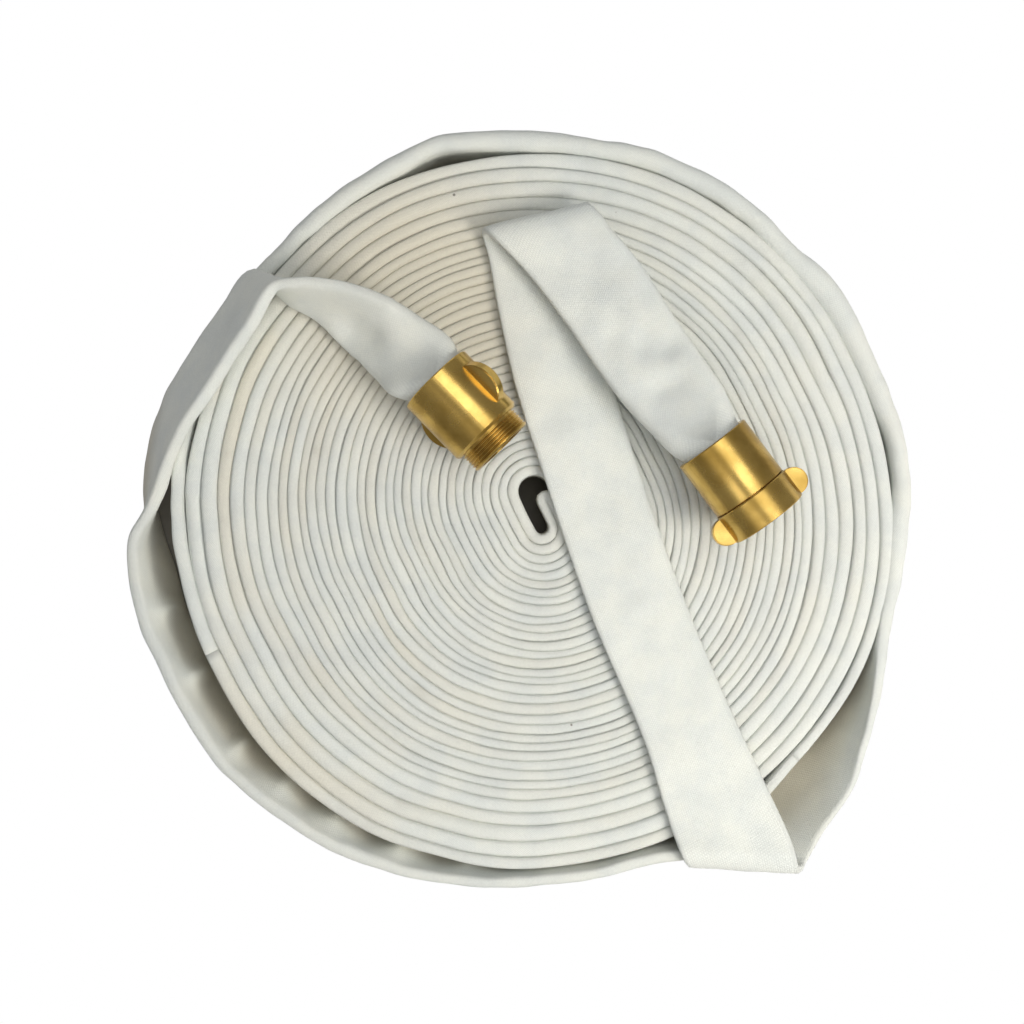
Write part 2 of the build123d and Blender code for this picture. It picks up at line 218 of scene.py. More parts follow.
@dataclass(frozen=True)
class WovenCanvas:
    """Polyester canvas, woven as a seamless tube.

    It gives the eye a matt, slightly warm white with a fine grain of crossing yarns, greyer and
    yellower stretches where it has aged and a few dark flecks. It also carries painted shade:
    darker and warmer towards the upper left of the roll and low on its walls, and darker in the
    weave's hollows.

    Attributes:
        name: Name of the material.
        yellow_and_shade_share: Share of the full yellow tone and painted shade, far from the place where the
            cloth leaves the roll.
        leaves_roll: Place along the cloth where it leaves the roll.
        yellow_and_shade_fades: Length over which the yellow tone and painted shade fall from full to their
            share.
        weft_pitch: Spacing of the yarns that cross the hose.
        warp_pitch: Spacing of the yarns along the hose.
        relief: Height of the weave.
        fuzz_size: Size of the yarn's fuzz. Real fuzz is a tenth of this and wouldn't show.
        mottle_size: Size of the greyer spots.
        cloud_size: Size of the broad unevenness in the yellow tone and painted shade.
        fleck_spacing: Spacing of the places where a fleck may be.
        ageing_per_mm: How quickly the cloth's age changes along it.
        painted_shade_spot: Centre of the darkest spot of painted shade, in the frame's metres.
    """

    name: str = "canvas"
    yellow_and_shade_share: float = 1.0
    leaves_roll: float = 0.0
    yellow_and_shade_fades: float = 300.0
    weft_pitch: float = 1.9
    warp_pitch: float = 1.7
    relief: float = 0.22
    fuzz_size: float = 1.43
    mottle_size: float = 23.8
    cloud_size: float = 200.0
    fleck_spacing: float = 38.46
    ageing_per_mm: float = 0.004
    painted_shade_spot: Point = (-0.075, 0.145, 0.066)
    pale: str = "#E7E9E1"
    grey: str = "#DCE0DC"
    # Yellowed cloth, and painted shade towards the upper left of the roll
    yellow_and_shade: str = "#DED5BE"
    soil: str = "#A79C82"
    # Painted shade, darker and warmer, low on the walls
    low_wall_shade: str = "#BDB196"
    fleck: str = "#5E564A"

    def make(self) -> bpy.types.Material:
        """Build the material, whose weave follows the hose by its cloth map.

        Returns:
            The new material.
        """
        n = Nodes(self.name)
        cloth = n.add("UVMap", uv_map="cloth")
        along = n.add("SeparateXYZ", {0: cloth}, "X")
        across = n.add("SeparateXYZ", {0: cloth}, "Y")
        place = n.add("TexCoord", output="Object")
        height = self.weave(n, along, across, place)
        ageing = n.add("Math", {0: along, 1: self.ageing_per_mm}, operation="MULTIPLY")
        age = n.add("TexNoise", {"W": ageing, "Scale": 1.0, "Detail": 3.0}, noise_dimensions="1D")
        mottle = n.add("TexNoise", {"Vector": place, "Scale": per_metre(self.mottle_size), "Detail": 4.0})
        warmth = self.warmth(n, along, place, age)

        greyness = n.add("MapRange", {0: mottle, 1: 0.3, 2: 0.7, 3: 0.1, 4: 0.9}, interpolation_type=EASED)
        colour = self.mix(n, greyness, linear(self.pale), self.grey)
        # Yellower by layer, with painted shade that darkens and warms the cloth towards the upper left of
        # the roll
        colour = self.mix(n, warmth, colour, self.yellow_and_shade)
        soiled = n.add("MapRange", {0: mottle, 1: 0.58, 2: 0.8, 4: 0.28}, interpolation_type=EASED)
        handled = n.add("MapRange", {0: age, 1: 0.5, 2: 0.8, 3: 0.2}, interpolation_type=EASED)
        dirt = n.add("Math", {0: soiled, 1: handled}, operation="MULTIPLY")
        colour = self.mix(n, dirt, colour, self.soil)
        colour = self.mix(n, self.flecks(n, place), colour, self.fleck)
        # Painted shade: darker and warmer low on the walls, where the turns shade each other
        up = n.add("SeparateXYZ", {0: place}, "Z")
        low = n.add("MapRange", {0: up, 1: 0.058, 2: 0.02, 4: 0.55}, interpolation_type=EASED)
        colour = self.mix(n, low, colour, self.low_wall_shade)
        # Painted shade in the weave's hollows, and a slight painted highlight on the yarns' tops
        shade = n.add("MapRange", {0: height, 1: 0.1, 2: 1.5, 3: 0.86, 4: 1.03}, interpolation_type=EASED)
        colour = n.add("VectorMath", {0: colour, "Scale": shade}, operation="SCALE")
        bump = n.add("Bump", {"Height": height, "Strength": 0.75, "Distance": self.relief * MM})
        shader = n.add(
            "BsdfPrincipled",
            {
                "Base Color": colour,
                "Roughness": 0.92,
                "Sheen Weight": 0.18,
                "Sheen Roughness": 0.6,
                "Specular IOR Level": 0.2,
                "Normal": bump,
            },
        )
        return n.finish(shader)

    def mix(
        self, n: Nodes, share: bpy.types.NodeSocket, under: bpy.types.NodeSocket | Colour, over: str
    ) -> bpy.types.NodeSocket:
        """Lay a tint over the cloth.

        Args:
            n: The material's nodes.
            share: How much of the tint shows.
            under: The cloth's colour without it.
            over: The tint, in sRGB.

        Returns:
            The tinted colour.
        """
        sockets = {n.FACTOR: share, n.FIRST: under, n.SECOND: linear(over)}
        return n.add("Mix", sockets, n.MIXED, data_type="RGBA")

    def weave(
        self,
        n: Nodes,
        along: bpy.types.NodeSocket,
        across: bpy.types.NodeSocket,
        place: bpy.types.NodeSocket,
    ) -> bpy.types.NodeSocket:
        """Height of the yarns that cross each other, and of their fuzz.

        Args:
            n: The material's nodes.
            along: Place along the cloth.
            across: Place across the cloth.
            place: Place in the frame.

        Returns:
            The height.
        """
        weft_angle = n.add("Math", {0: along, 1: 2 * math.pi / self.weft_pitch}, operation="MULTIPLY")
        warp_angle = n.add("Math", {0: across, 1: 2 * math.pi / self.warp_pitch}, operation="MULTIPLY")
        weft = n.add("Math", {0: weft_angle}, operation="SINE")
        warp = n.add("Math", {0: warp_angle}, operation="SINE")
        crossings = n.add("Math", {0: weft, 1: warp}, operation="MULTIPLY")
        warp_height = n.add("Math", {0: warp}, operation="ABSOLUTE")
        ribs = n.add("Math", {0: warp_height, 1: 0.6}, operation="MULTIPLY")
        woven = n.add("Math", {0: crossings, 1: 0.5, 2: ribs}, operation="MULTIPLY_ADD")
        fuzz = n.add("TexNoise", {"Vector": place, "Scale": per_metre(self.fuzz_size), "Detail": 3.0})
        return n.add("Math", {0: fuzz, 1: 1.1, 2: woven}, operation="MULTIPLY_ADD")

    def warmth(
        self,
        n: Nodes,
        along: bpy.types.NodeSocket,
        place: bpy.types.NodeSocket,
        age: bpy.types.NodeSocket,
    ) -> bpy.types.NodeSocket:
        """How yellow and shaded the cloth is: yellower by layer, with painted shade that grows to the left
        and is darkest round one spot.

        Args:
            n: The material's nodes.
            along: Place along the cloth.
            place: Place in the frame.
            age: Age of the cloth along it.

        Returns:
            The share of the yellow and shaded tint.
        """
        # Painted shade, darkest round one spot at the upper left of the roll
        offset = {0: place, 1: self.painted_shade_spot}
        distance = n.add("VectorMath", offset, "Value", operation="DISTANCE")
        spot = n.add("MapRange", {0: distance, 1: 0.04, 2: 0.15, 3: 0.75, 4: 0.0}, interpolation_type=EASED)
        aged = n.add("MapRange", {0: age, 1: 0.42, 2: 0.68}, interpolation_type=EASED)
        # Painted shade that grows towards the left of the roll; the yellowing by layer grows with it
        right = n.add("SeparateXYZ", {0: place}, "X")
        left = n.add("MapRange", {0: right, 1: 0.06, 2: -0.26, 3: 0.175, 4: 0.7}, interpolation_type=EASED)
        layers = n.add("Math", {0: aged, 1: left}, operation="MULTIPLY")
        warmth = n.add("Math", {0: spot, 1: layers}, operation="MAXIMUM")
        past = n.add("Math", {0: along, 1: self.leaves_roll}, operation="SUBTRACT")
        away = n.add("Math", {0: past}, operation="ABSOLUTE")
        faded = {0: away, 1: 0.0, 2: self.yellow_and_shade_fades, 3: 1.0, 4: self.yellow_and_shade_share}
        share = n.add("MapRange", faded, interpolation_type=EASED)
        warmth = n.add("Math", {0: warmth, 1: share}, operation="MULTIPLY")
        clouds = n.add("TexNoise", {"Vector": place, "Scale": per_metre(self.cloud_size), "Detail": 2.0})
        cloudy = n.add("MapRange", {0: clouds, 1: 0.3, 2: 0.6, 3: 0.6}, interpolation_type=EASED)
        return n.add("Math", {0: warmth, 1: cloudy}, operation="MULTIPLY", use_clamp=True)

    def flecks(self, n: Nodes, place: bpy.types.NodeSocket) -> bpy.types.NodeSocket:
        """Small dark specks of trodden dirt, in a quarter of the places for one.

        Args:
            n: The material's nodes.
            place: Place in the frame.

        Returns:
            The share of fleck colour.
        """
        cells = {"Vector": place, "Scale": per_metre(self.fleck_spacing), "Randomness": 1.0}
        lot = n.add("SeparateXYZ", {0: n.add("TexVoronoi", cells, "Color")}, "X")
        chosen = n.add("Math", {0: lot, 1: 0.72}, operation="GREATER_THAN")
        distance = n.add("TexVoronoi", cells, "Distance")
        near = n.add("MapRange", {0: distance, 1: 0.036, 2: 0.02, 4: 0.75}, interpolation_type=EASED)
        return n.add("Math", {0: near, 1: chosen}, operation="MULTIPLY")


@dataclass(frozen=True)
class TurnedBrass:
    """Forged yellow brass, turned on a lathe and lacquered.

    It gives the eye a satin gold with a broad highlight along each barrel, slightly browner and
    duller in patches where it has been handled, with edges that catch the light.

    Attributes:
        name: Name of the material.
        bright: Clean brass.
        tarnished: Handled brass.
        roughness: Roughness between clean and handled places.
        patch_size: Size of the handled patches.
        grain_size: Size of the turning grain. Real grain is a tenth of this and wouldn't show.
        grain_height: Height of the grain.
        edge_radius: Radius of the broken edges.
    """

    name: str = "brass"
    bright: str = "#DAB768"
    tarnished: str = "#A5843F"
    roughness: float = 0.26
    patch_size: float = 28.6
    grain_size: float = 1.11
    grain_height: float = 0.1
    edge_radius: float = 0.5

    def make(self) -> bpy.types.Material:
        """Build the material.

        Returns:
            The new material.
        """
        n = Nodes(self.name)
        place = n.add("TexCoord", output="Object")
        patches = n.add("TexNoise", {"Vector": place, "Scale": per_metre(self.patch_size), "Detail": 4.0})
        grain = n.add("TexNoise", {"Vector": place, "Scale": per_metre(self.grain_size), "Detail": 2.0})
        handled = n.add("MapRange", {0: patches, 1: 0.3, 2: 0.75}, interpolation_type=EASED)
        sockets = {n.FACTOR: handled, n.FIRST: linear(self.bright), n.SECOND: linear(self.tarnished)}
        colour = n.add("Mix", sockets, n.MIXED, data_type="RGBA")
        dulling = {0: patches, 1: 0.3, 2: 0.7, 3: self.roughness - 0.04, 4: self.roughness + 0.06}
        rough = n.add("MapRange", dulling, interpolation_type=EASED)
        bump = n.add("Bump", {"Height": grain, "Strength": 0.12, "Distance": self.grain_height * MM})
        rounded = n.add("Bevel", {"Radius": self.edge_radius * MM, "Normal": bump}, samples=4)
        inputs = {"Base Color": colour, "Metallic": 1.0, "Roughness": rough, "Normal": rounded}
        return n.finish(n.add("BsdfPrincipled", inputs))


@dataclass(frozen=True)
class Mottled:
    """A plain finish, such as rubber, steel or a sheet of painted shade: one colour that wanders to a
    second.

    It gives the eye an even surface with slight mottling and a soft grain.

    Attributes:
        name: Name of the material.
        colour: Its main colour.
        second: The colour that it wanders to.
        roughness: Its roughness.
        metallic: 1 for metal, 0 for anything else.
        mottle_size: Size of the mottling.
        grain_height: Height of the grain.
    """

    name: str
    colour: str
    second: str
    roughness: float
    metallic: float = 0.0
    mottle_size: float = 8.33
    grain_height: float = 0.2

    def make(self) -> bpy.types.Material:
        """Build the material.

        Returns:
            The new material.
        """
        n = Nodes(self.name)
        place = n.add("TexCoord", output="Object")
        mottle = n.add("TexNoise", {"Vector": place, "Scale": per_metre(self.mottle_size), "Detail": 3.0})
        sockets = {n.FACTOR: mottle, n.FIRST: linear(self.colour), n.SECOND: linear(self.second)}
        colour = n.add("Mix", sockets, n.MIXED, data_type="RGBA")
        bump = n.add("Bump", {"Height": mottle, "Strength": 0.2, "Distance": self.grain_height * MM})
        shine = {"Metallic": self.metallic, "Roughness": self.roughness}
        return n.finish(n.add("BsdfPrincipled", {"Base Color": colour, "Normal": bump, **shine}))


# Extruded rubber: dull and nearly black, so that the hose's bore stays dark
LINER_RUBBER = Mottled("lining", "#2A2826", "#1C1B1A", 0.6)
# Moulded rubber: a duller, blacker ring at the bottom of a coupling
GASKET_RUBBER = Mottled("gasket", "#1B1B1C", "#111112", 0.7)
# Ground steel: a bright grey with tight highlights
STEEL = Mottled("steel", "#B8B8B8", "#9A9A9A", 0.3, metallic=1.0)
# Painted shade: a dull grey sheet under the roll that stands for the shade in the gaps between the turns,
# which would otherwise show white
SHADE_SHEET = Mottled("painted_shade_sheet", "#8F8A80", "#7E796F", 0.9)


# ---------------------------------------------------------------- places along the hose


@dataclass
class Station:
    """A place along the hose.

    Attributes:
        low: Its lower edge.
        high: Its upper edge.
        thickness: Its thickness.
        pucker: How deep its inner wall puckers.
    """

    low: Vector
    high: Vector
    thickness: float = HOSE_THICKNESS
    pucker: float = 0.0

    @property
    def middle(self) -> Vector:
        """Halfway between the two edges."""
        return (self.low + self.high) / 2


def station(low: Point, high: Point, thickness: float = HOSE_THICKNESS, pucker: float = 0.0) -> Station:
    """A station from plain numbers."""
    return Station(Vector(low), Vector(high), thickness, pucker)


def heading(angle: float) -> Vector:
    """Unit vector in the XY plane."""
    return Vector((math.cos(math.radians(angle)), math.sin(math.radians(angle)), 0.0))


def rim(angle: float, distance: float, thickness: float) -> Station:
    """A station that stands on its edge.

    Args:
        angle: Its heading from the eye, in degrees.
        distance: How far its outer face lies from the eye.
        thickness: Its thickness.

    Returns:
        The station.
    """
    foot = heading(angle) * (distance - thickness / 2)
    return Station(foot, foot + UP * HOSE_WIDTH, thickness)


def round_end(mouth: Vector, angle: float, depth: float) -> Station:
    """Station where the hose is round.

    Args:
        mouth: Centre of its coupling's mouth.
        angle: Heading of the coupling, in degrees.
        depth: How far inside the mouth the station is.

    Returns:
        The station.
    """
    centre = mouth + heading(angle) * depth
    side = heading(angle + 90) * ROUND_RADIUS
    return Station(centre - side, centre + side, 2 * ROUND_RADIUS - FLAT_LEFT)


def distances(stations: list[Station]) -> list[float]:
    """Measure along the middles of stations.

    Args:
        stations: The stations.

    Returns:
        The distance of each from the first.
    """
    marks = [0.0]
    for here, there in zip(stations, stations[1:]):
        marks.append(marks[-1] + (there.middle - here.middle).length)
    return marks


def hermite(values: list[Value], knots: list[float], at: float, index: int) -> Value:
    """Value of a smooth curve through knots, on the span that starts at index.

    Args:
        values: Numbers or vectors at the knots.
        knots: Rising parameter of each value.
        at: Parameter to evaluate at.
        index: First knot of the span.

    Returns:
        The interpolated number or vector.
    """

    def slope(i: int) -> Value:
        """Slope of the curve at a knot.

        Args:
            i: The knot.

        Returns:
            The slope, from the knot's neighbours.
        """
        if i == 0:
            return (values[1] - values[0]) / (knots[1] - knots[0])
        if i == len(values) - 1:
            return (values[-1] - values[-2]) / (knots[-1] - knots[-2])
        before, after = knots[i] - knots[i - 1], knots[i + 1] - knots[i]
        rise = (values[i] - values[i - 1]) / before * after
        return (rise + (values[i + 1] - values[i]) / after * before) / (before + after)

    span = knots[index + 1] - knots[index]
    t = (at - knots[index]) / span
    return (
        values[index] * (2 * t**3 - 3 * t**2 + 1)
        + slope(index) * (span * (t**3 - 2 * t**2 + t))
        + values[index + 1] * (3 * t**2 - 2 * t**3)
        + slope(index + 1) * (span * (t**3 - t**2))
    )


def smooth(stations: list[Station], step: float) -> list[Station]:
    """Fill in stations.

    Args:
        stations: The stations that the hose passes.
        step: About how far apart neighbours are to be.

    Returns:
        The stations with the new ones between them.
    """
    knots = distances(stations)
    columns = (
        [s.low for s in stations],
        [s.high for s in stations],
        [s.thickness for s in stations],
        [s.pucker for s in stations],
    )
    filled = []
    for i in range(len(stations) - 1):
        count = max(1, round((knots[i + 1] - knots[i]) / step))
        for k in range(count):
            at = knots[i] + (knots[i + 1] - knots[i]) * k / count
            filled.append(Station(*(hermite(column, knots, at, i) for column in columns)))
    filled.append(stations[-1])
    return filled


def along_table(table: tuple[tuple[float, float], ...], at: float) -> float:
    """Smooth value between a table's points.

    Args:
        table: Pairs of a place and its value, in rising order.
        at: The place that is asked for.

    Returns:
        The value there.
    """
    for (low, first), (high, second) in zip(table, table[1:]):
        if at <= high:
            t = (at - low) / (high - low)
            return first + (second - first) * t * t * (3 - 2 * t)
    return table[-1][1]


# ---------------------------------------------------------------- skins


def add_object(name: str, mesh: bpy.types.Mesh) -> bpy.types.Object:
    """Put a mesh into the scene.

    Args:
        name: Name of the new object.
        mesh: Its mesh.

    Returns:
        The new object.
    """
    obj = bpy.data.objects.new(name, mesh)
    bpy.context.scene.collection.objects.link(obj)
    return obj


@dataclass
class Section:
    """Outline of the hose's cross-section: two rounded edges joined by two flat sides.

    Attributes:
        edge_points: Steps round each edge.
        side_points: Inner points of each side.
        squareness: Power of the pressed edges' curve, where 2 is round.
        round_from: Thickness from which the edges are round.
    """

    edge_points: int = 8
    side_points: int = 9
    squareness: float = 3.3
    round_from: float = 12.0

    def outline(self, width: float, thickness: float) -> list[tuple[float, float]]:
        """Points across and through the hose, starting at its high edge's lower corner.

        Args:
            width: Width of the hose.
            thickness: Thickness of the hose.

        Returns:
            The points, each as its place across and its place through.
        """
        half = thickness / 2
        reach = max(width / 2 - half, 0.0)
        power = 2 / self.squareness if thickness < self.round_from else 1.0
        edge = []
        for i in range(self.edge_points + 1):
            angle = math.pi * (i / self.edge_points - 0.5)
            out, up = math.cos(angle), math.sin(angle)
            edge.append((abs(out) ** power * half, math.copysign(abs(up) ** power, up) * half))
        sides = self.side_points + 1
        side = [(reach * (1 - 2 * i / sides), half) for i in range(1, sides)]
        points = [(reach + out, up) for out, up in edge] + side
        return points + [(-a, -b) for a, b in points]


@dataclass(frozen=True)
class Hollow:
    """A hollow pressed into the cloth.

    Attributes:
        centre: Its centre.
        reach: How far from there its depth falls to a third.
        depth: Its depth.
    """

    centre: Point
    reach: float
    depth: float

    def depth_at(self, point: Vector) -> float:
        """Its depth at a point."""
        return self.depth * math.exp(-(((point - Vector(self.centre)).length / self.reach) ** 2))


@dataclass
class HoseSkin:
    """A skin over stations, whose cloth map is in millimetres.

    Attributes:
        name: Name of the piece.
        section: Its cross-section.
        origin: Place along the cloth where the skin starts.
        direction: 1 or -1, the way in which the cloth's length counts along the skin.
        lining: Share of the last ring's size and distance past it of each ring inside the hose.
        hollows: Hollows pressed into the cloth.
        dents: Depth of the cloth's soft unevenness.
        broad_dents: How often broad dents come, per millimetre.
        fine_dents: How often fine dents come, per millimetre.
        dents_begin: Distance over which the dents grow from the first station.
        round_thickness: Thickness at which the hose is too round to dent.
        round_blend: Drop in thickness over which the dents come in again.
        pucker_pitch: Spacing of the puckers.
        pucker_wander: How far the puckers stray from that spacing, as a share of it.
        pucker_drift: How often the puckers stray, per millimetre.
        pucker_least: Depth under which there are no puckers.
        pucker_sharpness: Power of the puckers' wave, sharper below 1.
        pucker_swing: Height of the wave from valley to ridge.
        pucker_height: Height of the deepest place, from -1 at the low edge to 1 at the high one.
        pucker_reach: How far above and below that the puckers go.
    """

    name: str
    section: Section
    origin: float = 0.0
    direction: float = 1.0
    lining: tuple[tuple[float, float], ...] = ()
    hollows: tuple[Hollow, ...] = ()
    dents: float = 0.0
    broad_dents: float = 0.024
    fine_dents: float = 0.06
    dents_begin: float = 60.0
    round_thickness: float = 32.0
    round_blend: float = 15.0
    pucker_pitch: float = 52.0
    pucker_wander: float = 0.55
    pucker_drift: float = 0.02
    pucker_least: float = 0.05
    pucker_sharpness: float = 0.7
    pucker_swing: float = 1.4
    pucker_height: float = -0.05
    pucker_reach: float = 0.85

    def build(self, stations: list[Station], first: Vector, last: Vector) -> bpy.types.Object:
        """Make the mesh.

        Args:
            stations: Places along the hose.
            first: Heading at the first station.
            last: Heading at the last station.

        Returns:
            The new object, placed in the frame.
        """
        marks = distances(stations)
        rings = []
        for i, s in enumerate(stations):
            run = last
            if i == 0:
                run = first
            elif i < len(stations) - 1:
                run = stations[i + 1].middle - stations[i - 1].middle
            rings.append(self.ring(s, run, marks[i]))
        turned_in = len(rings)
        centre = stations[-1].middle
        # The cloth map moves on by at least a millimetre a ring, also where a ring only steps inwards
        for share, past in self.lining:
            rings.append([centre + (point - centre) * share + last * past for point in rings[turned_in - 1]])
            marks.append(marks[-1] + abs(past) + 1.0)
        verts = [(point + EYE) * MM for ring in rings for point in ring]
        return self.skin(verts, [self.origin + self.direction * mark for mark in marks], turned_in - 1)

    def ring(self, s: Station, run: Vector, along: float) -> list[Vector]:
        """Points round the hose at one station.

        Args:
            s: The station.
            run: The hose's heading there.
            along: Distance from the first station.

        Returns:
            The points.
        """
        span = s.high - s.low
        width = span.length
        across = span / width
        run = (run - across * run.dot(across)).normalized()
        through = run.cross(across)
        middle = s.middle
        points = []
        for a, b in self.section.outline(width, s.thickness):
            point = middle + across * a + through * b
            point = point + through * (self.dent(point, s, along) + self.fold(along, 2 * a / width, b, s))
            points.append(point - UP * self.hollow(point))
        return points

    def hollow(self, point: Vector) -> float:
        """Depth of the hollows at a point."""
        return sum(hollow.depth_at(point) for hollow in self.hollows)

    def dent(self, point: Vector, s: Station, along: float) -> float:
        """Soft unevenness of a stretch that nothing presses flat, none where the hose is round.

        Args:
            point: A point of the skin.
            s: Its station.
            along: Distance from the first station.

        Returns:
            How far the point moves through the hose.
        """
        if not self.dents:
            return 0.0
        flat = max(0.0, (self.round_thickness - s.thickness) / self.round_blend)
        free = min(1.0, flat, along / self.dents_begin)
        wave = noise.noise(point * self.broad_dents) + 0.5 * noise.noise(point * self.fine_dents)
        return self.dents * free * wave

    def fold(self, along: float, height: float, side: float, s: Station) -> float:
        """Puckers down the inner wall of a bent stretch.

        Args:
            along: Distance from the first station.
            height: Height from -1 at the low edge to 1 at the high one.
            side: Place through the hose, above 0 on the inner wall.
            s: The station.

        Returns:
            How far the point moves through the hose.
        """
        if s.pucker < self.pucker_least or side <= 0:
            return 0.0
        stray = noise.noise(Vector((along * self.pucker_drift, 5.0, 0.0)))
        at = along / self.pucker_pitch + self.pucker_wander * stray
        ridge = 1 - abs(math.sin(math.pi * at)) ** self.pucker_sharpness * self.pucker_swing
        reach = max(0.0, 1 - ((height - self.pucker_height) / self.pucker_reach) ** 2)
        return s.pucker * reach * ridge

    def skin(self, verts: list[Vector], marks: list[float], lining_from: int) -> bpy.types.Object:
        """Join rings of points into a closed skin.

        Args:
            verts: The points, ring by ring.
            marks: Place of each ring along the cloth.
            lining_from: Ring from which the faces are lining, where there is a lining.

        Returns:
            The new object.
        """
        ring = len(verts) // len(marks)
        faces, coords = [], []
        for i in range(len(marks) - 1):
            for j in range(ring):
                k = (j + 1) % ring
                faces.append((i * ring + j, i * ring + k, (i + 1) * ring + k, (i + 1) * ring + j))
                low, high = FABRIC_GIRTH * j / ring, FABRIC_GIRTH * (j + 1) / ring
                coords += [(marks[i], low), (marks[i], high), (marks[i + 1], high), (marks[i + 1], low)]
        end = (len(marks) - 1) * ring
        faces += [tuple(range(ring - 1, -1, -1)), tuple(range(end, end + ring))]
        coords += [(marks[0], 0.0)] * ring + [(marks[-1], 0.0)] * ring
        mesh = bpy.data.meshes.new(self.name)
        mesh.from_pydata(verts, [], faces)
        cloth = mesh.uv_layers.new(name="cloth")
        cloth.data.foreach_set("uv", [value for pair in coords for value in pair])
        mesh.shade_smooth()
        first_cap, last_cap = mesh.polygons[-2], mesh.polygons[-1]
        first_cap.use_smooth = last_cap.use_smooth = False
        if self.lining:
            for face in mesh.polygons[lining_from * ring :]:
                face.material_index = 1
            first_cap.material_index = 0
        return add_object(self.name, mesh)


def dress(
    obj: bpy.types.Object, canvas: bpy.types.Material, lining: bpy.types.Material, nodes: list[str]
) -> None:
    """Give a hose skin its finish and its place in the frame.

    Args:
        obj: The skin.
        canvas: Its canvas.
        lining: Its rubber lining.
        nodes: Nodes of the frame that it stands for.
    """
    obj.data.materials.append(canvas)
    obj.data.materials.append(lining)
    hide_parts(*nodes)
    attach(obj, Body.HOSE.value)
    log.info("%s: %d faces in place of %s", obj.name, len(obj.data.polygons), ", ".join(nodes))


# ---------------------------------------------------------------- the roll


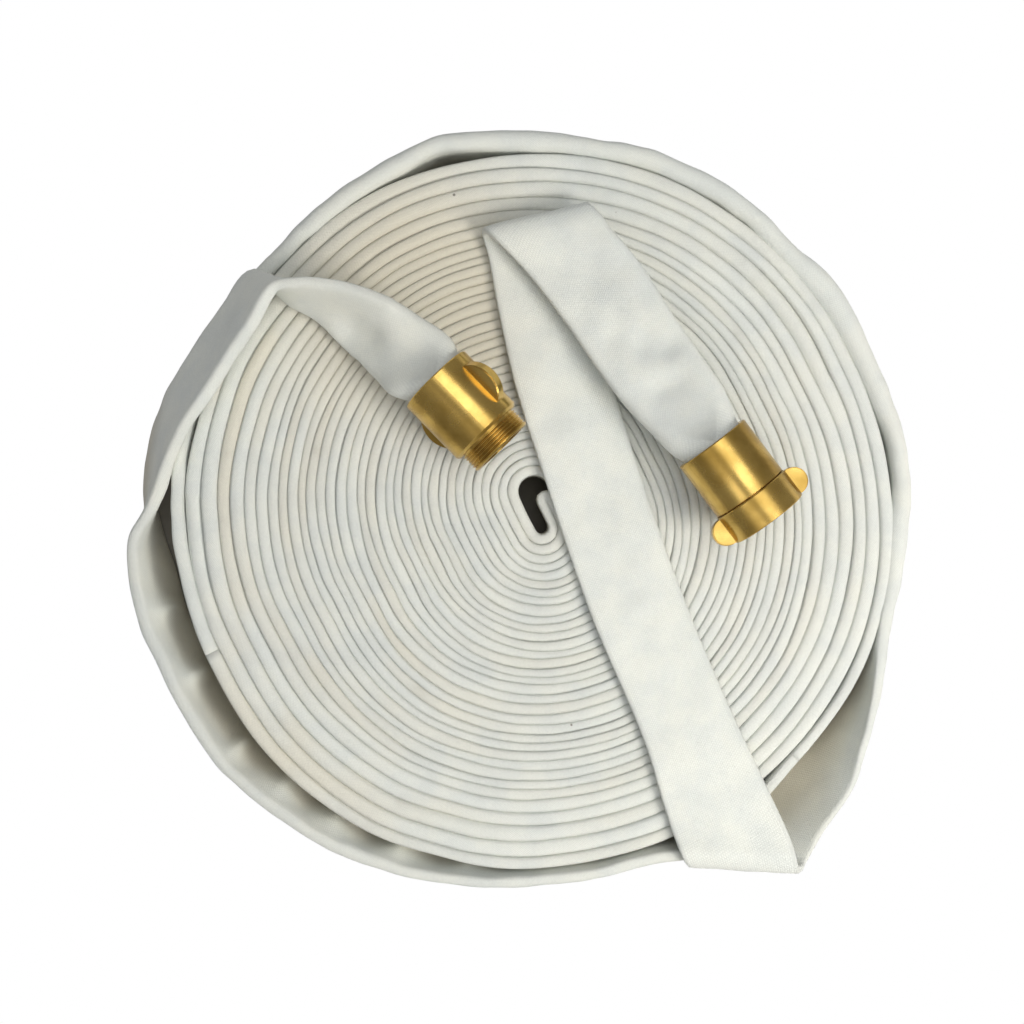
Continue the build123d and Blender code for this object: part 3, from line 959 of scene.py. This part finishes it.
@dataclass
class Roll:
    """The layers of doubled hose, from the fold in the eye outwards.

    Attributes:
        eye_angle: Heading of the eye's long axis, in degrees.
        eye_half_length: Half the length of the eye's straight sides.
        eye_offset: Distance of the first layer from the eye's long axis.
        fold_setback: Distance of the fold from the eye's first end.
        layers: Number of layers.
        tight_pitch: Pitch of the layers at the eye.
        loosening: Growth of the pitch towards the rim.
        male_release: Sweep of the last arc before the male end leaves the roll, in degrees.
        step: Distance between points along the arcs.
        straight_points: Points along each straight side of a layer.
        closest: Points nearer together than this are dropped.
        rim_swell: Outward swelling of the outermost layer, by heading in degrees.
        layer_swell: Outward swelling all round, by layer: loose in the eye, tight, and loose again.
        waviness: Height of the broad waves in a layer's edge.
        ripple: Height of the short waves in a layer's edge.
        rise: How far layers stand above and below each other.
        wobble: How far a layer's top wanders along it.
        sag: How far the layers' tops lie below the hose's width.
        overlap: How far neighbouring layers press into each other.
    """

    eye_angle: float = -63.4
    eye_half_length: float = 12.5
    eye_offset: float = 5.0
    fold_setback: float = 16.0
    layers: int = 34
    tight_pitch: float = 6.1
    loosening: float = 0.0232
    male_release: float = 69.6
    step: float = 4.0
    straight_points: int = 4
    closest: float = 0.8
    rim_swell: tuple[tuple[float, float], ...] = (
        (0, 5.5), (30, 7), (60, 5.5), (90, 3.5), (120, 5.5), (135, 4), (160, 9), (180, 13),
        (200, 16), (218, 15.5), (240, 13), (256, 8.5), (285, 2.5), (315, 3), (340, 5), (360, 5.5),
    )
    layer_swell: tuple[tuple[float, float], ...] = (
        (-2, 0), (0, 0), (2, 2.5), (8, 1.5), (20, -3), (29, -9), (34.5, 0), (40, 0),
    )
    waviness: float = 2.0
    ripple: float = 0.5
    rise: float = 2.2
    wobble: float = 0.8
    sag: float = 1.4
    overlap: float = 0.25

    def spacing(self, index: float) -> float:
        """Distance of a layer from the eye's long axis."""
        return self.eye_offset + self.tight_pitch * index + self.loosening * index**2

    def place(self, x: float, y: float) -> Vector:
        """Point of the eye's plane, by its place along and beside the eye's long axis."""
        return heading(self.eye_angle) * x + heading(self.eye_angle + 90) * y

    def arc(self, x: float, y: float, radius: float, start: float, sweep: float) -> list[Vector]:
        """Points along an arc, without its last one.

        Args:
            x: Place of its centre along the eye's long axis.
            y: Place of its centre beside the eye's long axis.
            radius: Its radius.
            start: Its first heading, in degrees.
            sweep: How far it turns, in degrees.

        Returns:
            The points.
        """
        count = max(6, round(abs(math.radians(sweep)) * radius / self.step))
        points = []
        for i in range(count):
            angle = math.radians(start + sweep * i / count)
            points.append(self.place(x + radius * math.cos(angle), y + radius * math.sin(angle)))
        return points

    def straight(self, start: float, beside: float, layer: float) -> list[tuple[Vector, float]]:
        """Points along a straight side, without its last one.

        Args:
            start: Place along the eye's long axis where it starts, and ends on the other side.
            beside: Its distance from the eye's long axis.
            layer: Its layer.

        Returns:
            The points, each with its layer.
        """
        shares = [1 - 2 * i / self.straight_points for i in range(self.straight_points)]
        return [(self.place(start * share, beside), layer) for share in shares]

    def strand(self, first: int, last: int, release: float) -> list[tuple[Vector, float]]:
        """Points of one strand from the fold outwards.

        Args:
            first: Its first layer.
            last: Its last layer.
            release: Sweep of its last arc, or 0 where it ends on a straight side.

        Returns:
            The points, each with its layer.
        """
        half = self.eye_half_length
        points = []
        for layer in range(first, last + 1, 2):
            here, there, beyond = (self.spacing(layer + i) for i in range(3))
            sweep = 180.0 if layer < last or not release else release
            near = self.arc(half, (here - there) / 2, (here + there) / 2, 90, -sweep)
            points += [(p, layer + i / len(near)) for i, p in enumerate(near)]
            if layer == last and release:
                break
            points += self.straight(half, -there, layer + 1)
            if layer == last:
                points.append((self.place(-half, -there), layer + 1))
                break
            far = self.arc(-half, (beyond - there) / 2, (beyond + there) / 2, 270, -180)
            points += [(p, layer + 1 + i / len(far)) for i, p in enumerate(far)]
            points += self.straight(-half, beyond, layer + 2)
        return points

    def path(self) -> list[tuple[Vector, float]]:
        """The whole line of the roll.

        Returns:
            Its points from the female end's release to the male end's, each with its layer.
        """
        fold_at = self.eye_half_length - self.fold_setback
        radius = (self.spacing(1) - self.spacing(0)) / 2
        fold = self.arc(fold_at, self.spacing(0) + radius, radius, 90, 180)
        bend = [(p, 0.5) for p in fold] + [(self.place(fold_at, self.spacing(0)), 0.0)]
        male = self.strand(0, self.layers, self.male_release)
        female = self.strand(1, self.layers - 1, 0.0)
        return list(reversed(female)) + bend + male

    def swell(self, layer: float, outward: Vector) -> float:
        """How far a boundary between layers stands outside its even place.

        Args:
            layer: Layer number of the boundary.
            outward: Unit vector from the eye.

        Returns:
            The distance.
        """
        angle = math.degrees(math.atan2(outward.y, outward.x)) % 360
        depth = max(layer, 0.0) / self.layers
        even = along_table(self.layer_swell, layer) + along_table(self.rim_swell, angle) * depth**3
        # A few waves go round each layer, and neighbouring layers take unlike ones
        wave = noise.noise(Vector((layer * 1.37, outward.x * 1.6, outward.y * 1.6)))
        ripple = noise.noise(Vector((layer * 2.3, outward.x * 7, outward.y * 7)))
        return even + (wave * self.waviness + ripple * self.ripple) * min(1.0, depth * 4)

    def stations(self) -> list[Station]:
        """Stations of the roll, uneven from layer to layer.

        Returns:
            The stations from the female end's release to the male end's.
        """
        path = self.path()
        kept = [path[0]]
        for item in path[1:]:
            if (item[0] - kept[-1][0]).length > self.closest:
                kept.append(item)
        stations, along = [], 0.0
        for i, (point, layer) in enumerate(kept):
            if i:
                along += (point - kept[i - 1][0]).length
            outward = point.normalized()
            inner, outer = self.swell(layer - 0.5, outward), self.swell(layer + 0.5, outward)
            pitch = self.tight_pitch + self.loosening * 2 * layer + outer - inner
            # Layers stand unevenly beside each other, and each one's top wanders slowly
            by_layer = noise.noise(Vector((layer * 0.9 + 40, outward.x * 1.2, outward.y * 1.2)))
            by_length = noise.noise(Vector((along * 0.012, 0.0, 7.7)))
            top = HOSE_WIDTH + self.rise * by_layer + self.wobble * by_length - self.sag
            foot = Vector((point.x, point.y, 0.0)) + outward * ((inner + outer) / 2)
            stations.append(Station(foot, foot + UP * top, pitch + self.overlap))
        return stations

    def build(self, stations: list[Station], canvas: bpy.types.Material, lining: bpy.types.Material) -> None:
        """Make the roll and dress it.

        Args:
            stations: Its stations.
            canvas: Its canvas.
            lining: Its rubber lining.
        """
        first = stations[1].low - stations[0].low
        last = stations[-1].low - stations[-2].low
        obj = HoseSkin("roll", Section()).build(stations, first, last)
        dress(obj, canvas, lining, ["rolled_hose"])


# ---------------------------------------------------------------- the two ends


# The male end, from the roll to its coupling
MALE_END = [
    station((105, -240, 0.5), (107, -247, 65.5), 8.0),
    station((77, -246, 1), (79, -252, 65), 8.5),
    station((42, -254, 1), (43, -261, 65), 8.5),
    station((1, -260, 1), (1, -267, 65), 8.5),
    station((-40, -260, 1), (-42, -267, 65), 8.5, 2.5),
    station((-80, -250, 1), (-86, -262, 65), 8.5, 6.0),
    station((-124, -236, 1), (-132, -248, 65), 9.5, 7.5),
    station((-174, -205, 1), (-186, -218, 65), 10.0, 7.5),
    station((-210, -178, 1), (-223, -187, 64), 10.0, 7.5),
    station((-245, -127, 1), (-259, -134, 64), 10.0, 7.5),
    station((-268, -76, 1), (-283, -80, 64), 9.5, 6.0),
    station((-278, -42, 1), (-291, -43, 64), 9.0, 2.0),
    station((-285, -21, 1), (-290, -22, 65), 9.0),
    station((-293, 8, 4), (-276, 1, 68), 9.5),
    station((-284, 54, 22), (-256, 46, 80), 10.0),
    station((-266, 90, 40), (-234, 77, 94), 10.0),
    station((-244, 119, 54), (-211, 108, 106), 10.0),
    station((-222, 146, 68), (-194, 129, 116), 10.0),
    station((-201, 167, 74), (-180, 151, 121), 9.0),
    station((-176, 148, 73), (-163, 155, 121), 8.5),
    station((-158, 138, 72), (-133, 153, 117), 9.0),
    station((-138, 118, 73), (-109, 147, 111), 11.0),
    station((-114, 92, 83), (-86, 136, 102), 16.0),
    station((-99, 78, 98), (-59, 116, 99), 28.0),
]

# The female turn: heading in degrees, its outer face's distance from the eye and its thickness
FEMALE_RIM = [
    (168, 265, 9), (156, 264.5, 9.5), (144, 265, 10.5), (132, 267.5, 13),
    (120, 272, 14.5), (112, 275.5, 15), (105, 278.5, 12), (99, 277, 15), (90, 273, 15), (80, 270.5, 14),
    (72, 272, 14.5), (62, 271, 15), (54, 269.5, 15), (47, 266.5, 15), (36, 270.5, 20), (28, 268.5, 19),
    (19, 267, 17), (10, 269.5, 13), (4, 269.5, 13.5), (-3, 267, 15.5), (-12, 267.5, 14), (-19, 269, 10),
]

# The female end, from the roll to its coupling
FEMALE_END = [rim(*place) for place in FEMALE_RIM] + [
    station((240, -133, 0), (242, -135, 66), 7.0),
    station((218, -161, 1), (235, -168, 64), 6.6),
    station((192, -187, 1), (228, -201, 54)),
    station((162, -219, 6), (207, -234, 51)),
    station((135, -243, 26), (194, -255, 55)),
    station((119, -252, 53), (190, -258, 63)),
    station((107, -253, 67), (186, -256, 70)),
    station((102, -246, 73.5), (184, -249, 73)),
    station((98, -236, 71), (181, -238, 71)),
    station((89, -209, 70), (161, -193, 70)),
    station((78, -172, 70), (139, -146, 70)),
    station((38, -76, 70), (100, -52, 70)),
    station((1, 33, 70), (64, 53, 70)),
    station((-17, 90, 70), (48, 107, 70)),
    station((-29, 145, 70), (36, 159, 70)),
    station((-37, 186, 71), (28, 202, 71)),
    station((-40, 196, 74), (32, 214, 74.5)),
    station((-39, 197, 80), (36, 215, 82)),
    station((-33, 192, 84), (43, 208, 87)),
    station((-12, 171, 85), (51, 197, 89), 7.0),
    station((16, 135, 88), (70, 174, 91), 9.0),
    station((41, 98, 93), (96, 132, 96), 10.0),
    station((59, 73, 98), (114, 105, 100), 13.0),
    station((80, 50, 103), (129, 81, 105), 20.0),
    station((91, 38.5, 105.5), (133, 70, 105.5), 30.0),
]

# Hollows pressed into the two tails
MALE_HOLLOWS = (
    Hollow((-132, 126, 95), 14.0, 10.0),
    Hollow((-118, 118, 100), 9.0, 6.0),
    Hollow((-160, 140, 95), 14.0, 5.0),
)
FEMALE_HOLLOWS = (
    Hollow((88, 112, 97), 9.0, 4.5),
    Hollow((72, 116, 96), 9.0, 4.0),
    Hollow((55, 122, 95), 10.0, 2.5),
    Hollow((84, 84, 110), 10.0, 4.0),
    Hollow((98, 88, 106), 9.0, 2.5),
    Hollow((38, 165, 92), 16.0, 4.0),
    Hollow((18, 172, 90), 14.0, 3.0),
)

# Stations of each end that stand on the floor
MALE_STANDING = 14
FEMALE_STANDING = 24

# Centres of the couplings' mouths, and the couplings' headings in degrees
MALE_MOUTH = Vector((-72.0, 91.0, 98.2))
MALE_HEADING = -45.8
FEMALE_MOUTH = Vector((119.0, 46.0, 106.0))
FEMALE_HEADING = -52.9


@dataclass
class HoseEnd:
    """One free end of the hose, from the roll to inside its coupling.

    Attributes:
        gender: Which end it is.
        stations: Its stations between the roll and its coupling.
        mouth: Centre of its coupling's mouth.
        angle: Heading of its coupling, in degrees.
        hollows: Hollows pressed into its tail.
        origin: Place along the cloth where it leaves the roll.
        direction: 1 or -1, the way in which the cloth's length counts along it.
        step: Distance between the stations that are filled in.
        clear: Distance from the roll at which they start.
        dents: Depth of its soft unevenness.
        yellow_and_shade_share: Share of the roll's yellow tone and painted shade that it has.
        taper: Share of its inside's width that is left at the mouth.
        inside_rings: Number of round stations inside the coupling.
    """

    gender: Gender
    stations: list[Station]
    mouth: Vector
    angle: float
    hollows: tuple[Hollow, ...]
    origin: float = 0.0
    direction: float = 1.0
    step: float = 4.0
    clear: float = 1.0
    dents: float = 1.7
    yellow_and_shade_share: float = 0.25
    taper: float = 0.97
    inside_rings: int = 4

    def build(self, lead: list[Station], lining: bpy.types.Material) -> None:
        """Make the end, which turns back inside the coupling as the lining, and dress it.

        Args:
            lead: The roll's last stations, which the end carries on from.
            lining: Its rubber lining.
        """
        mouth = round_end(self.mouth, self.angle, 0.0)
        depths = [HOSE_DEPTH * (i + 1) / self.inside_rings for i in range(self.inside_rings)]
        inside = [round_end(self.mouth, self.angle, depth) for depth in depths]
        filled = smooth(lead + self.stations + [mouth], self.step) + inside
        start = (lead[-1].low - lead[0].low).length + self.clear
        begin = next(i for i, mark in enumerate(distances(filled)) if mark >= start)
        filled = [lead[-1]] + filled[begin:]
        share = 1 - HOSE_WALL / ROUND_RADIUS
        skin = HoseSkin(
            f"{self.gender.value}_end",
            Section(),
            origin=self.origin,
            direction=self.direction,
            lining=((share, 0.0), (share, -HOSE_DEPTH / 2), (share * self.taper, -HOSE_DEPTH)),
            hollows=self.hollows,
            dents=self.dents,
        )
        heading_in = (filled[1].low - filled[0].low).normalized()
        obj = skin.build(filled, heading_in, heading(self.angle))
        name = f"canvas_{self.gender.value}_end"
        canvas = WovenCanvas(name=name, yellow_and_shade_share=self.yellow_and_shade_share, leaves_roll=self.origin).make()
        nodes = [f"{self.gender.value}_{part.value}_{ply.value}" for part in Stretch for ply in Ply]
        dress(obj, canvas, lining, nodes)


# ---------------------------------------------------------------- the couplings


@dataclass
class Couplings:
    """The brass couplings with their seals, balls and screw, which stay as the frame has them.

    Attributes:
        finishes: The finish of each material slot.
    """

    finishes: dict[Slot, bpy.types.Material]

    def dress(self, frame: dict) -> None:
        """Give every node of the frame its finish.

        Args:
            frame: The loaded frame.
        """
        slots = {row["node"]: Slot(row["material_slot"]) for row in frame["record"]["subparts"]}
        for name, obj in frame["nodes"].items():
            for material_slot in obj.material_slots:
                material_slot.material = self.finishes[slots[name]]
            log.info("%s: %s", name, slots[name].value)


# ---------------------------------------------------------------- studio


@dataclass(frozen=True)
class SoftLight:
    """A square soft light that faces the roll.

    Attributes:
        name: Its name.
        at: Its place, in metres.
        size: Its side, in metres.
        power: Its power, in watts.
        colour: Its colour.
        aim: Height above the floor that it faces, in metres.
    """

    name: str
    at: Point
    size: float
    power: float
    colour: str
    aim: float = 0.05

    def build(self) -> None:
        """Add the light."""
        light = bpy.data.lights.new(self.name, "AREA")
        light.size = self.size
        light.energy = self.power
        light.color = linear(self.colour)[:3]
        obj = bpy.data.objects.new(self.name, light)
        obj.location = self.at
        obj.rotation_euler = (UP * self.aim - Vector(self.at)).to_track_quat("-Z", "Y").to_euler()
        bpy.context.scene.collection.objects.link(obj)


@dataclass
class Studio:
    """Floor, light and camera, in metres.

    Attributes:
        lights: The lights.
        daylight: Strength of the even light from all round.
        floor_half: Half the floor's side.
        floor_drop: How far the floor lies below the hose.
        shade_sheet_drop: How far the dark sheet of painted shade under the roll lies below the hose.
        camera_height: Height of the camera.
        camera_at: Place of the camera over the floor.
        focal_length: Focal length of the camera, in millimetres.
        sensor_width: Width of the camera's sensor, in millimetres.
    """

    lights: tuple[SoftLight, ...] = (
        SoftLight("key", (0.9, -0.5, 1.1), 0.6, 14.5, "#FFFAF2"),
        SoftLight("fill", (-0.2, -0.9, 1.4), 1.0, 4.0, "#FFFFFF"),
        SoftLight("top", (0.3, 0.35, 1.7), 1.0, 8.0, "#F8FBFF"),
    )
    daylight: float = 0.27
    floor_half: float = 3.0
    floor_drop: float = 0.0005
    shade_sheet_drop: float = 0.0002
    camera_height: float = 1.150
    camera_at: tuple[float, float] = (-0.0055, -0.0031)
    focal_length: float = 53.2
    sensor_width: float = 36.0

    def build(self, feet: list[Vector]) -> None:
        """Add the floor, the lights and the camera.

        Args:
            feet: Lower edge of the outermost turns, all round.
        """
        self.patch(feet)
        self.floor()
        for light in self.lights:
            light.build()
        world = bpy.data.worlds.new("studio")
        world.use_nodes = True
        background = world.node_tree.nodes["Background"]
        background.inputs["Color"].default_value = linear("#FFFFFF")
        background.inputs["Strength"].default_value = self.daylight
        bpy.context.scene.world = world
        bpy.context.scene.view_settings.view_transform = "Standard"
        self.camera()

    def floor(self) -> None:
        """Add a pale floor, which is pure white to the camera."""
        n = Nodes("floor")
        rays = n.add("LightPath", output="Is Camera Ray")
        plain = n.add("BsdfDiffuse", {"Color": linear("#DADADA")})
        white = n.add("Emission", {"Color": linear("#FFFFFF"), "Strength": 1.0})
        material = n.finish(n.add("MixShader", {0: rays, 1: plain, 2: white}))
        half = self.floor_half
        corners = [(-half, -half), (half, -half), (half, half), (-half, half)]
        self.lay("floor", corners, self.floor_drop, material)

    def patch(self, feet: list[Vector]) -> None:
        """Add a dark sheet of painted shade under the roll, which the camera sees between its turns.

        Args:
            feet: Lower edge of the outermost turns, all round.
        """
        corners = [tuple(((foot + EYE) * MM).xy) for foot in feet]
        self.lay("shade", corners, self.shade_sheet_drop, SHADE_SHEET.make())

    def lay(
        self, name: str, corners: list[tuple[float, float]], drop: float, material: bpy.types.Material
    ) -> None:
        """Lay a flat piece of floor.

        Args:
            name: Its name.
            corners: Its corners.
            drop: How far it lies below the hose.
            material: Its finish.
        """
        mesh = bpy.data.meshes.new(name)
        mesh.from_pydata([(x, y, -drop) for x, y in corners], [], [tuple(range(len(corners)))])
        mesh.materials.append(material)
        add_object(name, mesh)

    def camera(self) -> None:
        """Look straight down on the roll."""
        camera = bpy.data.cameras.new("camera")
        camera.lens = self.focal_length
        camera.sensor_width = self.sensor_width
        obj = bpy.data.objects.new("camera", camera)
        obj.location = (*self.camera_at, self.camera_height)
        bpy.context.scene.collection.objects.link(obj)
        bpy.context.scene.camera = obj


# ---------------------------------------------------------------- the whole


# Stations of the roll that an end is led in by
LEAD = 6


def main() -> None:
    """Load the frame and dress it."""
    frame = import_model()
    standing = MALE_END[:MALE_STANDING] + FEMALE_END[:FEMALE_STANDING]
    Studio().build([s.low for s in standing])
    canvas = WovenCanvas().make()
    lining = LINER_RUBBER.make()
    finishes = {
        Slot.CANVAS: canvas,
        Slot.LINER_RUBBER: lining,
        Slot.GASKET_RUBBER: GASKET_RUBBER.make(),
        Slot.BRASS: TurnedBrass().make(),
        Slot.STEEL: STEEL.make(),
    }
    Couplings(finishes).dress(frame)

    roll = Roll()
    stations = roll.stations()
    roll.build(stations, canvas, lining)
    length = distances(stations)[-1]
    male = HoseEnd(Gender.MALE, MALE_END, MALE_MOUTH, MALE_HEADING, MALE_HOLLOWS, origin=length)
    male.build(stations[-LEAD:], lining)
    female = HoseEnd(Gender.FEMALE, FEMALE_END, FEMALE_MOUTH, FEMALE_HEADING, FEMALE_HOLLOWS, direction=-1.0)
    female.build(stations[LEAD - 1 :: -1], lining)


if __name__ == "__main__":
    logging.basicConfig(level=logging.INFO)
    main()
